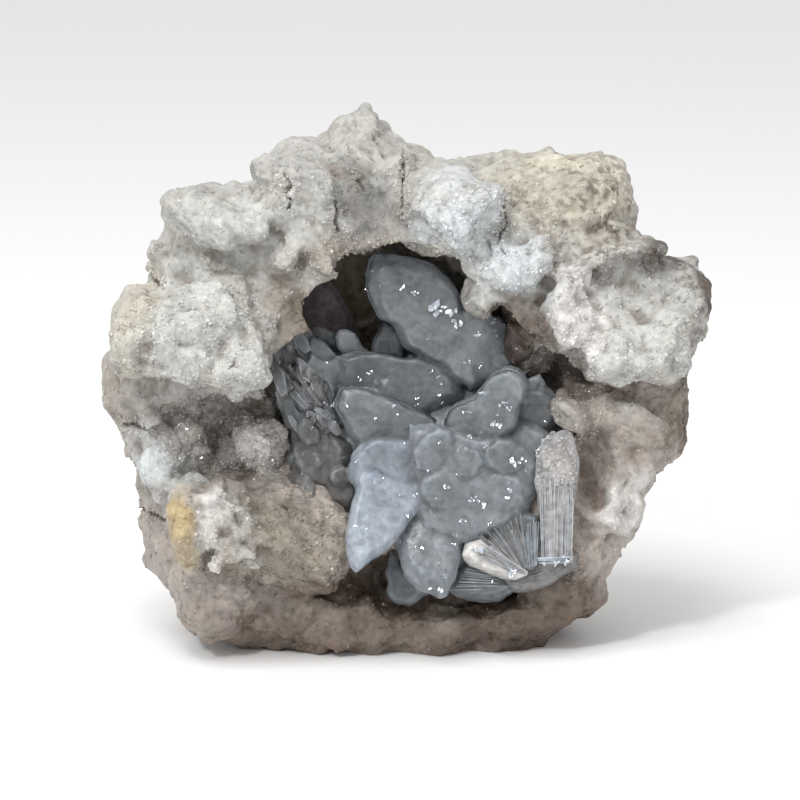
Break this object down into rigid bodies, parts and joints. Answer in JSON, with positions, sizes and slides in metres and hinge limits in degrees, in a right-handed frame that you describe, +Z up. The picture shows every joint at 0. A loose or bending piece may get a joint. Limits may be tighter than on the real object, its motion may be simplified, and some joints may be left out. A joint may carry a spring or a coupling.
{
  "type": "rough celestite geode specimen",
  "caption": "Broken piece of a celestite geode: pale granular stone around a hollow lined with blue-grey blade crystals, standing on a flat base.",
  "frame": {"origin": "middle of the bounding box at the level of the flat base that the stone stands on", "axes": "+Z up, -Y towards the viewer of the broken face with the hollow, +X to that viewer's right along the stone's width"},
  "size_m": [0.0997, 0.0613, 0.0891],
  "materials": {
    "granular_stone": "dull sugary crystalline stone, white to grey on the broken face, cream and brown on the weathered rind",
    "celestite_crystal": "translucent pale blue-grey crystal with a vitreous lustre and milky patches"
  },
  "bodies": {
    "root": {"geode_stone": "granular_stone", "celestite_crystals": "celestite_crystal"}
  },
  "joints": []
}
